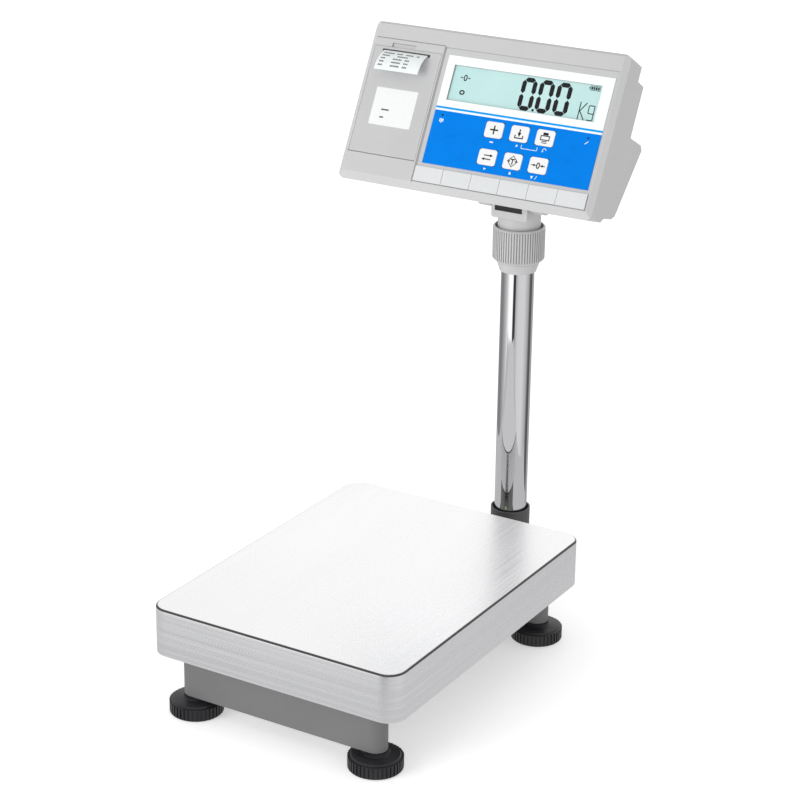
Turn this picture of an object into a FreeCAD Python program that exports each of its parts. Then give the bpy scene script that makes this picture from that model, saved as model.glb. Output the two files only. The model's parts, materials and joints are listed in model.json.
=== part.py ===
import FreeCAD, Part

import os
import re

import Sketcher

# Bench scale: a weighing platform on four screw feet, with a chrome pillar behind it that
# carries a swivelling, tilting indicator with a display, six keys and a built-in printer.
#
# Frame: millimetres, +Z up, +X to the user's right, +Y away from the user. The origin lies on
# the surface that the scale stands on, below the middle of its bounding box.
#
# Two working frames are used. "floor" has its origin below the middle of the pan's front edge.
# "face" lies on the indicator's front face: X to the right, Y up the sloping face, Z out of it,
# so the depth behind the face is a negative Z.

DIMENSIONS = {
    # place of the working frames in the model frame
    "stand_x": 30, "stand_y": -290.02,
    # clearances
    "gap": 0.3, "running": 0.05,
    # weighing pan
    "pan_width": 300, "pan_depth": 400, "pan_top": 122, "pan_skirt": 53, "pan_sheet": 1.5,
    "pan_corner": 20, "pan_edge": 2.5,
    # base frame
    "foot_x": 110.7, "foot_front": 28, "foot_back": 372, "boss_radius": 12.6,
    "beam_bottom": 21.4, "beam_top": 60, "beam_wall": 4, "spine_half": 32, "spine_bottom": 36,
    # screw feet
    "foot_radius": 28.7, "foot_side": 13.4, "foot_bevel": 1.2, "crown_radius": 25,
    "crown_top": 15.6, "neck_radius": 13.5, "neck_bottom": 17.2, "neck_top": 20.9,
    "foot_teeth": 40, "notch_depth": 1.1, "notch_half": 0.95,
    "stud_radius": 5, "stud_bottom": 8, "stud_top": 52, "stud_flange": 8,
    # load cell and its spacers
    "cell_half": 17, "cell_front": 125, "cell_back": 275, "cell_bottom": 64, "cell_top": 90,
    "cell_end": 32, "flexure_radius": 8, "flexure_spread": 11, "cell_bolt": 3, "bolt_inset": 9,
    # pan support
    "support_half": 132, "support_front": 20, "support_back": 380, "support_bottom": 108,
    "support_top": 113, "hub_half": 30, "hub_bottom": 93, "rib_x": 74, "rib_half": 3,
    "rib_bottom": 97, "support_corner": 18, "pad_radius": 10, "pad_x": 112, "pad_inset": 42,
    "stop_x": 84, "stop_radius": 4, "stop_top": 107.4, "stop_nut": 7, "stop_nut_top": 65,
    # spirit level on the pillar arm
    "level_y": 430, "level_radius": 9, "level_height": 7, "vial_radius": 7, "vial_depth": 5,
    # pillar
    "pillar_y": 509.1, "tube_radius": 19, "tube_bore": 17.5, "tube_top": 411,
    "socket_radius": 23.1, "socket_top": 84, "socket_bottom": 26, "socket_floor": 30,
    "seal_radius": 21.3, "seal_bottom": 75, "seal_top": 79.5, "arm_half": 22, "arm_bottom": 30,
    "arm_top": 58, "set_screw": 3, "set_screw_head": 5, "set_screw_low": 42, "set_screw_high": 64,
    # collar, lock ring and swivelling head
    "collar_bottom": 377, "collar_foot": 21, "collar_radius": 25, "collar_shoulder": 389,
    "collar_top": 411, "ring_radius": 29.8, "ring_bottom": 389.4, "ring_top": 430,
    "ring_bevel": 3.2, "ring_rim": 1.4, "ring_mouth": 27.2, "ring_mouth_depth": 7,
    "ring_ribs": 60, "rib_cut": 0.9, "rib_cut_half": 0.75,
    "stem_bottom": 350, "post_radius": 24.4, "post_bottom": 411.4, "post_top": 449,
    "block_half": 22.7, "block_bottom": 442.5, "block_corner": 3, "knuckle_radius": 14,
    "pin_ahead": 11.7, "pin_z": 468, "pin_radius": 4, "pin_half": 39.2,
    "slot_left": -18.4, "slot_right": 16.5, "slot_bottom": 451, "slot_top": 462, "slot_depth": 9,
    "slot_lip": 1.2,
    # indicator, measured on its face
    "face_tilt": 27.4, "pin_below": 21.7, "pin_depth": 39.9,
    "face_left": 210, "face_right": 115.2, "face_top": 145, "face_bottom": 42.5,
    "face_corner": 8, "shell_depth": 37, "side_bevel": 6.5, "side_bevel_depth": 4,
    "side_draft": 1.2, "top_bevel": 3, "top_bevel_depth": 3, "top_draft": 3.5,
    "foot_bevel_height": 9, "foot_bevel_depth": 4.5, "under_depth": 31, "under_rise": 5,
    "back_rise": 10.5, "shell_wall": 3, "cavity_bottom": 29, "cavity_top": 137,
    "recess_radius": 30, "recess_half": 25, "ear_radius": 17, "ear_outer": 41,
    "block_wall": 44, "block_height": 12, "block_back": 70.7,
    # rear housing
    "rear_top": 125, "rear_depth": 55, "rear_inset": 1.7, "step_height": 65, "bulge_top": 60.5,
    "bulge_depth": 91.7, "bulge_shoulder": 86, "bulge_foot": 22.6, "bulge_foot_depth": 64.9,
    "bulge_toe": 27.6, "bulge_toe_depth": 57.7, "rear_wall": 2.5, "rear_round": 2.5,
    # housing screws
    "screw_left": 193, "screw_inner": 106, "screw_right": 104, "screw_high": 115,
    "screw_low": -17,
    "screw_radius": 1.5, "screw_head": 3, "screw_boss": 4.6, "screw_seat": 46,
    # keypad and display panel
    "panel_left": 111.3, "panel_right": 107.3, "panel_bottom": 33, "panel_top": 124.5,
    "panel_depth": 1, "overlay_left": 105, "overlay_right": 104.3, "overlay_bottom": 10.1,
    "overlay_top": 116.5, "overlay_sink": 0.4, "window_left": 95, "window_right": 91,
    "window_bottom": 65, "window_top": 106.3, "glass_thickness": 1.4, "module_margin": 5,
    "module_depth": 9, "strip_left": 110.8, "strip_right": 106, "strip_bottom": 32,
    "strip_top": 14.5, "strip_proud": 0.4, "strip_groove": 0.9, "strip_groove_depth": 0.7,
    # keys
    "key_width": 22.4, "key_height": 18.1, "key_pitch_x": 32, "key_pitch_y": 31.6,
    "key_column": 6.6, "key_row": 7.6, "key_proud": 0.5, "key_back": 2.6, "key_corner": 3,
    "key_gap": 0.3,
    # electronics
    "keyboard_front": 3.3, "board_thickness": 1.6, "keyboard_left": 50, "keyboard_right": 62,
    "keyboard_bottom": -6, "keyboard_top": 54, "main_left": 96, "main_right": 92,
    "main_bottom": 16, "main_top": 132, "main_front": 26, "battery_half": 36,
    "battery_bottom": 23, "battery_top": 58, "battery_front": 55, "battery_back": 72,
    "battery_corner": 3,
    # rear connectors and switch
    "port_y": 96, "cell_port_x": -62, "cell_port_radius": 8, "cell_port_flange": 10,
    "serial_x": -14, "serial_half": 15.4, "serial_height_half": 6.2, "inlet_x": 32,
    "inlet_radius": 4.5, "inlet_flange": 6, "jack_radius": 2.8, "jack_depth": 9,
    "port_front": 42, "flange_thickness": 1.6, "switch_x": 70, "switch_half": 6.5,
    "switch_half_height": 11, "switch_frame": 2, "rocker_reach": 8.6, "rocker_half": 4.2,
    "rocker_proud": 2.6, "rocker_room": 0.9, "rocker_pivot": 0.6, "rocker_pin": 1,
    # printer
    "door_left": 203, "door_right": 114.8, "door_hinge": 8.4, "door_top": 115.7,
    "door_thickness": 3.8, "door_knuckle": 1.9, "door_pin": 0.9, "pin_reach": 3,
    "paper_left": 191, "paper_right": 130, "slot_low": 109.4, "slot_high": 113,
    "catch_left": 181, "catch_right": 150, "catch_top": 121, "catch_depth": 1.6,
    "groove_x": 112.7, "groove_width": 0.8, "groove_depth": 0.8,
    "platen_y": 105.8, "platen_depth": 10.2, "platen_radius": 6, "axle_radius": 2,
    "arm_thickness": 2.5, "arm_low": 99, "arm_end": 15, "head_low": 113, "head_high": 122,
    "head_front": 5, "head_back": 18, "roll_y": 52, "roll_depth": 27, "roll_radius": 19,
    "roll_core": 6, "chassis_wall": 2, "chassis_low": 24, "chassis_front": 8, "chassis_back": 49,
    "motor_y": 8, "motor_depth": 24, "motor_radius": 10,
    "paper_thickness": 0.15, "paper_reach": 13, "paper_drop": 26, "paper_bulge": 3.4,
}

doc = FreeCAD.newDocument("bench_scale")
sheet = doc.addObject("Spreadsheet::Sheet", "dims")
for row, (alias, number) in enumerate(DIMENSIONS.items(), 1):
    sheet.set(f"A{row}", alias)
    sheet.set(f"B{row}", str(number))
    sheet.setAlias(f"B{row}", alias)
doc.recompute()

nodes = []


# ---------------------------------------------------------------- expressions and sketches

def bound(text):
    """Turn pan_width / 2 into dims.pan_width / 2, as the document's expressions need."""
    return re.sub(r"[a-z_]+", lambda word: "dims." * (word.group() in DIMENSIONS) + word.group(),
                  text)


def size(text):
    """The present value of an expression in the sheet's names."""
    return float(sheet.evalExpression(bound(text)))


def polygon(*points):
    return "polygon", points


def rectangle(left, low, right, high):
    return polygon((left, low), (right, low), (right, high), (left, high))


def disc(across, up, radius):
    return "disc", (across, up, radius)


def constrain(drawing, kind, expression, *places):
    index = drawing.addConstraint(Sketcher.Constraint(kind, *places, size(expression)))
    drawing.setExpression(f"Constraints[{index}]", bound(expression))


def draw_polygon(drawing, points):
    corners = [FreeCAD.Vector(size(across), size(up), 0) for across, up in points]
    first = drawing.GeometryCount
    count = len(corners)
    for index in range(count):
        drawing.addGeometry(Part.LineSegment(corners[index], corners[(index + 1) % count]))
    for index in range(count):
        following = first + (index + 1) % count
        drawing.addConstraint(Sketcher.Constraint("Coincident", first + index, 2, following, 1))
    for index, (across, up) in enumerate(points):
        constrain(drawing, "DistanceX", across, -1, 1, first + index, 1)
        constrain(drawing, "DistanceY", up, -1, 1, first + index, 1)


def draw_disc(drawing, across, up, radius):
    centre = FreeCAD.Vector(size(across), size(up), 0)
    circle = Part.Circle(centre, FreeCAD.Vector(0, 0, 1), size(radius))
    index = drawing.addGeometry(circle)
    constrain(drawing, "DistanceX", across, -1, 1, index, 3)
    constrain(drawing, "DistanceY", up, -1, 1, index, 3)
    constrain(drawing, "Radius", radius, index)


def sketch(body, plane, offset, shapes):
    """Draw closed shapes on one of the body's own planes, moved along its normal."""
    drawing = body.newObject("Sketcher::SketchObject", body.Name + "_sketch")
    support = next(item for item in body.Origin.OriginFeatures if item.Role == plane)
    drawing.AttachmentSupport = [(support, "")]
    drawing.MapMode = "FlatFace"
    drawing.setExpression("AttachmentOffset.Base.z", bound(offset))
    for kind, values in shapes:
        if kind == "disc":
            draw_disc(drawing, *values)
        else:
            draw_polygon(drawing, values)
    return drawing


# ---------------------------------------------------------------- bodies and their features

FACE_Y = ("stand_y + pillar_y - pin_ahead + pin_below * sin(face_tilt)"
          " - pin_depth * cos(face_tilt)")
FACE_Z = "pin_z + pin_below * cos(face_tilt) + pin_depth * sin(face_tilt)"


def place(item, frame, across="0", back="0", up="0"):
    """Bind the placement to the floor frame, moved by the offsets, or to the face frame."""
    if frame == "floor":
        base = (f"stand_x + {across}", f"stand_y + {back}", up)
    else:
        base = ("stand_x", FACE_Y, FACE_Z)
        item.Placement.Rotation = FreeCAD.Rotation(FreeCAD.Vector(1, 0, 0), 1)
        item.setExpression("Placement.Rotation.Angle", bound("90 - face_tilt"))
    for axis, expression in zip("xyz", base):
        item.setExpression(f"Placement.Base.{axis}", bound(expression))


def new_part(label, frame="floor", across="0", back="0", up="0"):
    body = doc.addObject("PartDesign::Body", label)
    body.Label = label
    body.AllowCompound = True
    place(body, frame, across, back, up)
    nodes.append(body)
    return body


def add(body, plane, low, high, *shapes):
    """Pad the shapes along the plane's normal, from low to high."""
    pad = body.newObject("PartDesign::Pad", body.Name + "_pad")
    pad.Profile = sketch(body, plane, low, shapes)
    pad.setExpression("Length", bound(f"({high}) - ({low})"))
    doc.recompute()
    return pad


def cut(body, plane, low, high, *shapes):
    """Pocket the shapes along the plane's normal, from low to high."""
    before = body.Shape.Volume
    pocket = body.newObject("PartDesign::Pocket", body.Name + "_pocket")
    pocket.Profile = sketch(body, plane, low, shapes)
    pocket.setExpression("Length", bound(f"({high}) - ({low})"))
    pocket.Reversed = True
    doc.recompute()
    if not body.Shape.Volume < before:
        raise ValueError(f"{pocket.Name} removes nothing from {body.Label}")
    return pocket


def lathe(body, *points):
    """Revolve a profile of (radius, height) points about the body's own Z axis."""
    turned = body.newObject("PartDesign::Revolution", body.Name + "_turned")
    drawing = sketch(body, "XZ_Plane", "0", [polygon(*points)])
    turned.Profile = drawing
    turned.ReferenceAxis = (drawing, ["V_Axis"])
    turned.Angle = 360
    doc.recompute()
    return turned


def around(body, feature, count):
    """Repeat a feature about the body's Z axis."""
    pattern = body.newObject("PartDesign::PolarPattern", body.Name + "_pattern")
    axis = next(item for item in body.Origin.OriginFeatures if item.Role == "Z_Axis")
    pattern.Originals = [feature]
    pattern.Axis = (axis, [""])
    pattern.Angle = 360
    pattern.setExpression("Occurrences", bound(count))
    body.Tip = pattern
    doc.recompute()


def straight_edges(shape, direction, test=lambda middle: True):
    """Names of the straight edges along a direction whose middle point passes the test."""
    found = []
    for number, edge in enumerate(shape.Edges, 1):
        if not isinstance(edge.Curve, Part.Line):
            continue
        run = edge.Vertexes[-1].Point - edge.Vertexes[0].Point
        if run.cross(direction).Length < 0.2 * run.Length and test(edge.CenterOfMass):
            found.append(f"Edge{number}")
    return found


def round_edges(body, radius, direction, test=lambda middle: True):
    """Fillet the straight edges along a direction. Edge places are in the body's own frame."""
    tip = body.Tip
    fillet = body.newObject("PartDesign::Fillet", body.Name + "_fillet")
    fillet.Base = (tip, straight_edges(tip.Shape, direction, test))
    fillet.setExpression("Radius", bound(radius))
    doc.recompute()
    return fillet


ALONG_X = FreeCAD.Vector(1, 0, 0)
ALONG_Y = FreeCAD.Vector(0, 1, 0)
ALONG_Z = FreeCAD.Vector(0, 0, 1)

FEET = {
    "front_left": ("-foot_x", "foot_front"), "front_right": ("foot_x", "foot_front"),
    "rear_left": ("-foot_x", "foot_back"), "rear_right": ("foot_x", "foot_back"),
}


# ---------------------------------------------------------------- base

def make_base_frame():
    """H-shaped casting: two hollow cross beams, a hollow spine and four foot bosses."""
    frame = new_part("base_frame")
    beams = [rectangle("-foot_x", f"{middle} - boss_radius", "foot_x", f"{middle} + boss_radius")
             for middle in ("foot_front", "foot_back")]
    add(frame, "XY_Plane", "beam_bottom", "beam_top", *beams)
    bosses = [disc(across, back, "boss_radius") for across, back in FEET.values()]
    add(frame, "XY_Plane", "beam_bottom", "beam_top", *bosses)
    add(frame, "XY_Plane", "spine_bottom", "beam_top",
        rectangle("-spine_half", "foot_front", "spine_half", "foot_back"))
    hollows = [
        rectangle("boss_radius + beam_wall - foot_x", f"{middle} - boss_radius + beam_wall",
                  "foot_x - boss_radius - beam_wall", f"{middle} + boss_radius - beam_wall")
        for middle in ("foot_front", "foot_back")]
    cut(frame, "XY_Plane", "beam_bottom - 1", "beam_top - beam_wall", *hollows)
    cut(frame, "XY_Plane", "spine_bottom - 1", "beam_top - 2 * beam_wall",
        rectangle("beam_wall - spine_half", "foot_front + boss_radius + beam_wall",
                  "spine_half - beam_wall", "foot_back - boss_radius - beam_wall"))
    bores = [disc(across, back, "stud_radius + running") for across, back in FEET.values()]
    cut(frame, "XY_Plane", "beam_bottom - 1", "beam_top + 1", *bores)
    stops = [disc(across, back, "stop_radius")
             for across in ("-stop_x", "stop_x") for back in ("foot_front", "foot_back")]
    cut(frame, "XY_Plane", "beam_top - 2 * beam_wall", "beam_top + 1", *stops)
    cut(frame, "XY_Plane", "spine_bottom", "beam_top + 1", *cell_bolts("cell_front + bolt_inset"))


def cell_bolts(front):
    """Four bolt holes at one end of the load cell, in two rows."""
    return [disc(across, back, "cell_bolt")
            for across in ("-cell_half / 2", "cell_half / 2")
            for back in (front, f"{front} + cell_end - 2 * bolt_inset")]


def make_overload_stops():
    """Four adjustable stop screws with lock nuts, just below the pan support's corners."""
    stops = new_part("overload_stops")
    places = [(across, back) for across in ("-stop_x", "stop_x")
              for back in ("foot_front", "foot_back")]
    add(stops, "XY_Plane", "beam_top - 2 * beam_wall", "stop_top",
        *[disc(across, back, "stop_radius") for across, back in places])
    add(stops, "XY_Plane", "beam_top", "stop_nut_top",
        *[disc(across, back, "stop_nut") for across, back in places])


def make_foot(name, across, back):
    """A knurled rubber foot turns on the foot of its own levelling stud."""
    stud = new_part(f"stud_{name}", "floor", across, back)
    lathe(stud, ("0", "stud_bottom"), ("stud_flange", "stud_bottom"),
          ("stud_flange", "stud_bottom + 3"), ("stud_radius", "stud_bottom + 3"),
          ("stud_radius", "stud_top - 1"), ("stud_radius - 1", "stud_top"), ("0", "stud_top"))
    foot = new_part(f"foot_{name}", "floor", across, back)
    lathe(foot, ("0", "0"), ("foot_radius - foot_bevel", "0"), ("foot_radius", "foot_bevel"),
          ("foot_radius", "foot_side"), ("crown_radius + 1", "foot_side + 0.6"),
          ("crown_radius", "crown_top"), ("neck_radius + 1.5", "neck_bottom"),
          ("neck_radius", "neck_bottom + 1"), ("neck_radius", "neck_top"),
          ("stud_radius + running", "neck_top"), ("stud_radius + running", "stud_bottom + 3.3"),
          ("stud_flange + gap", "stud_bottom + 3.3"), ("stud_flange + gap", "stud_bottom - gap"),
          ("0", "stud_bottom - gap"))
    notch = cut(foot, "XY_Plane", "-1", "foot_side + 0.3",
                rectangle("foot_radius - notch_depth", "-notch_half", "foot_radius + 2",
                          "notch_half"))
    around(foot, notch, "foot_teeth")


def make_load_cell():
    """Single-point load cell: an aluminium bar thinned by a twin-circle window."""
    cell = new_part("load_cell")
    add(cell, "YZ_Plane", "-cell_half", "cell_half",
        rectangle("cell_front", "cell_bottom", "cell_back", "cell_top"))
    middle = "(cell_front + cell_back) / 2"
    height = "(cell_bottom + cell_top) / 2"
    for side in ("- flexure_spread", "+ flexure_spread"):
        cut(cell, "YZ_Plane", "-cell_half - 1", "cell_half + 1",
            disc(f"{middle} {side}", height, "flexure_radius"))
    cut(cell, "YZ_Plane", "-cell_half - 1", "cell_half + 1",
        rectangle(f"{middle} - flexure_spread", f"{height} - flexure_radius / 2",
                  f"{middle} + flexure_spread", f"{height} + flexure_radius / 2"))
    cut(cell, "XY_Plane", "cell_bottom - 1", "cell_top + 1",
        *cell_bolts("cell_front + bolt_inset"), *cell_bolts("cell_back - cell_end + bolt_inset"))

    lower = new_part("lower_spacer")
    add(lower, "XY_Plane", "beam_top", "cell_bottom",
        rectangle("-cell_half", "cell_front", "cell_half", "cell_front + cell_end"))
    cut(lower, "XY_Plane", "beam_top - 1", "cell_bottom + 1",
        *cell_bolts("cell_front + bolt_inset"))
    bolts = new_part("lower_bolts")
    add(bolts, "XY_Plane", "spine_bottom + beam_wall", "cell_top",
        *cell_bolts("cell_front + bolt_inset"))

    upper = new_part("upper_spacer")
    add(upper, "XY_Plane", "cell_top", "hub_bottom",
        rectangle("-cell_half", "cell_back - cell_end", "cell_half", "cell_back"))
    cut(upper, "XY_Plane", "cell_top - 1", "hub_bottom + 1",
        *cell_bolts("cell_back - cell_end + bolt_inset"))
    bolts = new_part("upper_bolts")
    add(bolts, "XY_Plane", "cell_bottom + 4", "support_top",
        *cell_bolts("cell_back - cell_end + bolt_inset"))


def make_pan_support():
    """Ribbed sub-plate on the load cell's free end, with a rubber pad near each corner."""
    support = new_part("pan_support")
    add(support, "XY_Plane", "support_bottom", "support_top",
        rectangle("-support_half", "support_front", "support_half", "support_back"))
    round_edges(support, "support_corner", ALONG_Z)
    add(support, "XY_Plane", "hub_bottom", "support_bottom",
        rectangle("-hub_half", "cell_back - cell_end - 8", "hub_half", "cell_back + 8"))
    add(support, "XY_Plane", "rib_bottom", "support_bottom",
        *[rectangle(f"{middle} - rib_half", "support_front + 50", f"{middle} + rib_half",
                    "support_back - 50") for middle in ("-rib_x", "rib_x")])
    cut(support, "XY_Plane", "hub_bottom - 1", "support_top + 1",
        *cell_bolts("cell_back - cell_end + bolt_inset"))
    pads = new_part("pan_pads")
    add(pads, "XY_Plane", "support_top", "pan_top - pan_sheet",
        *[disc(across, back, "pad_radius") for across in ("-pad_x", "pad_x")
          for back in ("pad_inset", "pan_depth - pad_inset")])


def make_pan():
    """Lift-off stainless pan: a folded tray, open below, with a deep skirt."""
    pan = new_part("pan")
    add(pan, "XY_Plane", "pan_top - pan_skirt", "pan_top",
        rectangle("-pan_width / 2", "0", "pan_width / 2", "pan_depth"))
    round_edges(pan, "pan_corner", ALONG_Z)
    top = size("pan_top")
    rim = [f"Edge{number}" for number, edge in enumerate(pan.Tip.Shape.Edges, 1)
           if abs(edge.BoundBox.ZMin - top) < 0.01]
    tip = pan.Tip
    fillet = pan.newObject("PartDesign::Fillet", "pan_rim")
    fillet.Base = (tip, rim)
    fillet.setExpression("Radius", bound("pan_edge"))
    doc.recompute()
    low = "pan_top - pan_skirt - 1"
    high = "pan_top - pan_sheet"
    cut(pan, "XY_Plane", low, high,
        rectangle("pan_corner - pan_width / 2", "pan_sheet", "pan_width / 2 - pan_corner",
                  "pan_depth - pan_sheet"))
    cut(pan, "XY_Plane", low, high,
        rectangle("pan_sheet - pan_width / 2", "pan_corner", "pan_width / 2 - pan_sheet",
                  "pan_depth - pan_corner"))
    cut(pan, "XY_Plane", low, high,
        *[disc(across, back, "pan_corner - pan_sheet")
          for across in ("pan_corner - pan_width / 2", "pan_width / 2 - pan_corner")
          for back in ("pan_corner", "pan_depth - pan_corner")])


# ---------------------------------------------------------------- pillar

def make_pillar():
    arm = new_part("pillar_arm")
    add(arm, "XY_Plane", "arm_bottom", "arm_top",
        rectangle("-arm_half", "foot_back + boss_radius", "arm_half", "pillar_y"))
    cut(arm, "XY_Plane", "arm_bottom - 1", "arm_top + 1", disc("0", "pillar_y", "socket_radius"))
    cut(arm, "XY_Plane", "arm_top - 3", "arm_top + 1", disc("0", "level_y", "level_radius"))

    level = new_part("spirit_level", "floor", "0", "level_y")
    lathe(level, ("0", "arm_top - 3"), ("level_radius", "arm_top - 3"),
          ("level_radius", "arm_top - 3 + level_height"),
          ("vial_radius", "arm_top - 3 + level_height"),
          ("vial_radius", "arm_top - 3 + level_height - vial_depth"),
          ("0", "arm_top - 3 + level_height - vial_depth"))
    vial = new_part("level_vial", "floor", "0", "level_y")
    lathe(vial, ("0", "arm_top - 3 + level_height - vial_depth"),
          ("vial_radius", "arm_top - 3 + level_height - vial_depth"),
          ("vial_radius", "arm_top - 3 + level_height - 0.6"),
          ("vial_radius - 1", "arm_top - 3 + level_height"),
          ("0", "arm_top - 3 + level_height"))

    socket = new_part("pillar_socket", "floor", "0", "pillar_y")
    lathe(socket, ("0", "socket_bottom"), ("socket_radius", "socket_bottom"),
          ("socket_radius", "socket_top"), ("seal_radius", "socket_top"),
          ("seal_radius", "seal_bottom"), ("tube_radius", "seal_bottom"),
          ("tube_radius", "socket_floor"), ("0", "socket_floor"))
    holes = [disc("0", height, "set_screw") for height in ("set_screw_low", "set_screw_high")]
    cut(socket, "XZ_Plane", "-socket_radius - 1", "-tube_radius", *holes)
    screws = new_part("socket_screws", "floor", "0", "pillar_y")
    add(screws, "XZ_Plane", "-socket_radius", "-tube_radius", *holes)
    heads = [disc("0", height, "set_screw_head")
             for height in ("set_screw_low", "set_screw_high")]
    add(screws, "XZ_Plane", "-socket_radius - 3.4", "-socket_radius - 0.4", *heads)
    add(screws, "XZ_Plane", "-socket_radius - 0.4", "-socket_radius", *holes)

    seal = new_part("socket_seal", "floor", "0", "pillar_y")
    lathe(seal, ("tube_radius", "seal_bottom"), ("seal_radius", "seal_bottom"),
          ("seal_radius", "seal_top"), ("tube_radius + 0.8", "seal_top"),
          ("tube_radius", "seal_top - 1"))

    tube = new_part("pillar_tube", "floor", "0", "pillar_y")
    lathe(tube, ("tube_bore", "socket_floor"), ("tube_radius", "socket_floor"),
          ("tube_radius", "tube_top"), ("tube_bore", "tube_top"))

    collar = new_part("pillar_collar", "floor", "0", "pillar_y")
    lathe(collar, ("tube_radius", "collar_bottom"), ("collar_foot", "collar_bottom"),
          ("collar_radius - 1", "collar_shoulder - 3"), ("collar_radius", "collar_shoulder - 1"),
          ("collar_radius", "collar_top"), ("tube_radius", "collar_top"))


def make_lock_ring():
    """Ribbed ring nut that clamps the head on the pillar."""
    ring = new_part("lock_ring", "floor", "0", "pillar_y")
    lathe(ring, ("collar_radius + gap", "ring_bottom"),
          ("ring_radius - ring_bevel", "ring_bottom"), ("ring_radius", "ring_bottom + ring_bevel"),
          ("ring_radius", "ring_top - ring_rim"), ("ring_radius - ring_rim", "ring_top"),
          ("ring_mouth + 0.4", "ring_top"), ("ring_mouth", "ring_top - ring_mouth_depth"),
          ("collar_radius + gap", "ring_top - ring_mouth_depth"))
    groove = cut(ring, "XY_Plane", "ring_bottom - 1", "ring_top - ring_rim - 0.6",
                 polygon(("ring_radius - rib_cut", "-rib_cut_half / 2"),
                         ("ring_radius + 0.2", "-rib_cut_half"),
                         ("ring_radius + 0.2", "rib_cut_half"),
                         ("ring_radius - rib_cut", "rib_cut_half / 2")))
    around(ring, groove, "ring_ribs")


def make_head():
    """Swivel post in the tube's mouth, with the knuckle block that carries the tilt pin."""
    post = new_part("swivel_post", "floor", "0", "pillar_y")
    lathe(post, ("0", "stem_bottom"), ("tube_bore - running", "stem_bottom"),
          ("tube_bore - running", "post_bottom"), ("post_radius", "post_bottom"),
          ("post_radius", "post_top"), ("0", "post_top"))
    add(post, "YZ_Plane", "-block_half", "block_half",
        rectangle("-pin_ahead - knuckle_radius", "block_bottom",
                  "knuckle_radius - pin_ahead", "pin_z"))
    front = -size("pin_ahead + knuckle_radius")
    low = size("block_bottom")
    round_edges(post, "block_corner", ALONG_Y,
                lambda middle: abs(middle.z - low) < 0.01 and middle.y < front / 2)
    add(post, "YZ_Plane", "-block_half", "block_half",
        disc("-pin_ahead", "pin_z", "knuckle_radius"))
    cut(post, "YZ_Plane", "slot_left", "slot_right",
        rectangle("-pin_ahead - knuckle_radius - 1", "slot_bottom",
                  "slot_depth - pin_ahead - knuckle_radius", "slot_top"))
    cut(post, "YZ_Plane", "-block_half - 1", "block_half + 1",
        disc("-pin_ahead", "pin_z", "pin_radius"))

    liner = new_part("slot_liner", "floor", "0", "pillar_y")
    add(liner, "YZ_Plane", "slot_left", "slot_right",
        rectangle("slot_lip - pin_ahead - knuckle_radius", "slot_bottom",
                  "slot_depth - pin_ahead - knuckle_radius - pin_radius", "slot_top"))
    pin = new_part("tilt_pin", "floor", "0", "pillar_y")
    add(pin, "YZ_Plane", "-pin_half", "pin_half", disc("-pin_ahead", "pin_z", "pin_radius"))


# ---------------------------------------------------------------- indicator housings

PIN = ("-pin_below", "-pin_depth")
HIGH_SCREWS = [("-screw_inner", "screw_high"), ("screw_right", "screw_high")]
LOW_SCREWS = [("-screw_left", "screw_low"), ("screw_right", "screw_low")]
SCREWS = HIGH_SCREWS + LOW_SCREWS
KEYS = {
    "key_memory_add": (-1, 1), "key_memory_recall": (0, 1), "key_mode": (1, 1),
    "key_units": (-1, 0), "key_tare": (0, 0), "key_zero": (1, 0),
}


def key_outline(column, row, margin):
    """A key's outline on the face, grown by a margin."""
    across = f"key_column + {column} * key_pitch_x"
    up = f"key_row + {row} * key_pitch_y"
    return rectangle(f"{across} - key_width / 2 - {margin}", f"{up} - key_height / 2 - {margin}",
                     f"{across} + key_width / 2 + {margin}", f"{up} + key_height / 2 + {margin}")


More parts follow.
